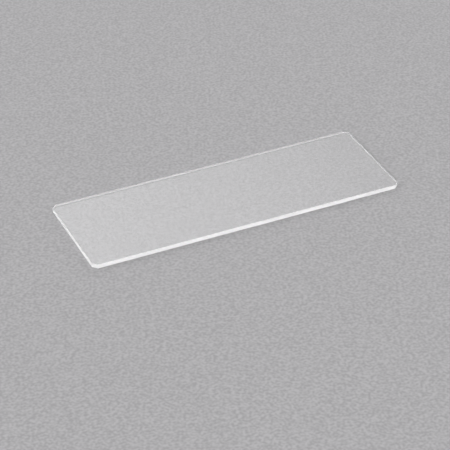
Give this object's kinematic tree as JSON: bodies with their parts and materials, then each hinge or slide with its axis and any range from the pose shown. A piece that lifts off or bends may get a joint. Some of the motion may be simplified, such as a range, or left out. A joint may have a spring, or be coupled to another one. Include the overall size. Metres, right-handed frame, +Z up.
{
  "type": "microscope slide",
  "caption": "Flat clear glass plate with clipped corners and a ground rim, on which a specimen is laid for viewing under a microscope.",
  "frame": {"origin": "centre of the underside, the face that lies on the stage or bench", "axes": "+X along the length, +Y across the width, +Z up through the thickness"},
  "size_m": [0.076, 0.026, 0.001],
  "materials": {
    "glass": "clear and colourless, polished on both faces, fine satin grey-white where the rim, its bevels and the clipped corners are ground"
  },
  "bodies": {
    "root": {"glass_slide": "glass"}
  },
  "joints": []
}
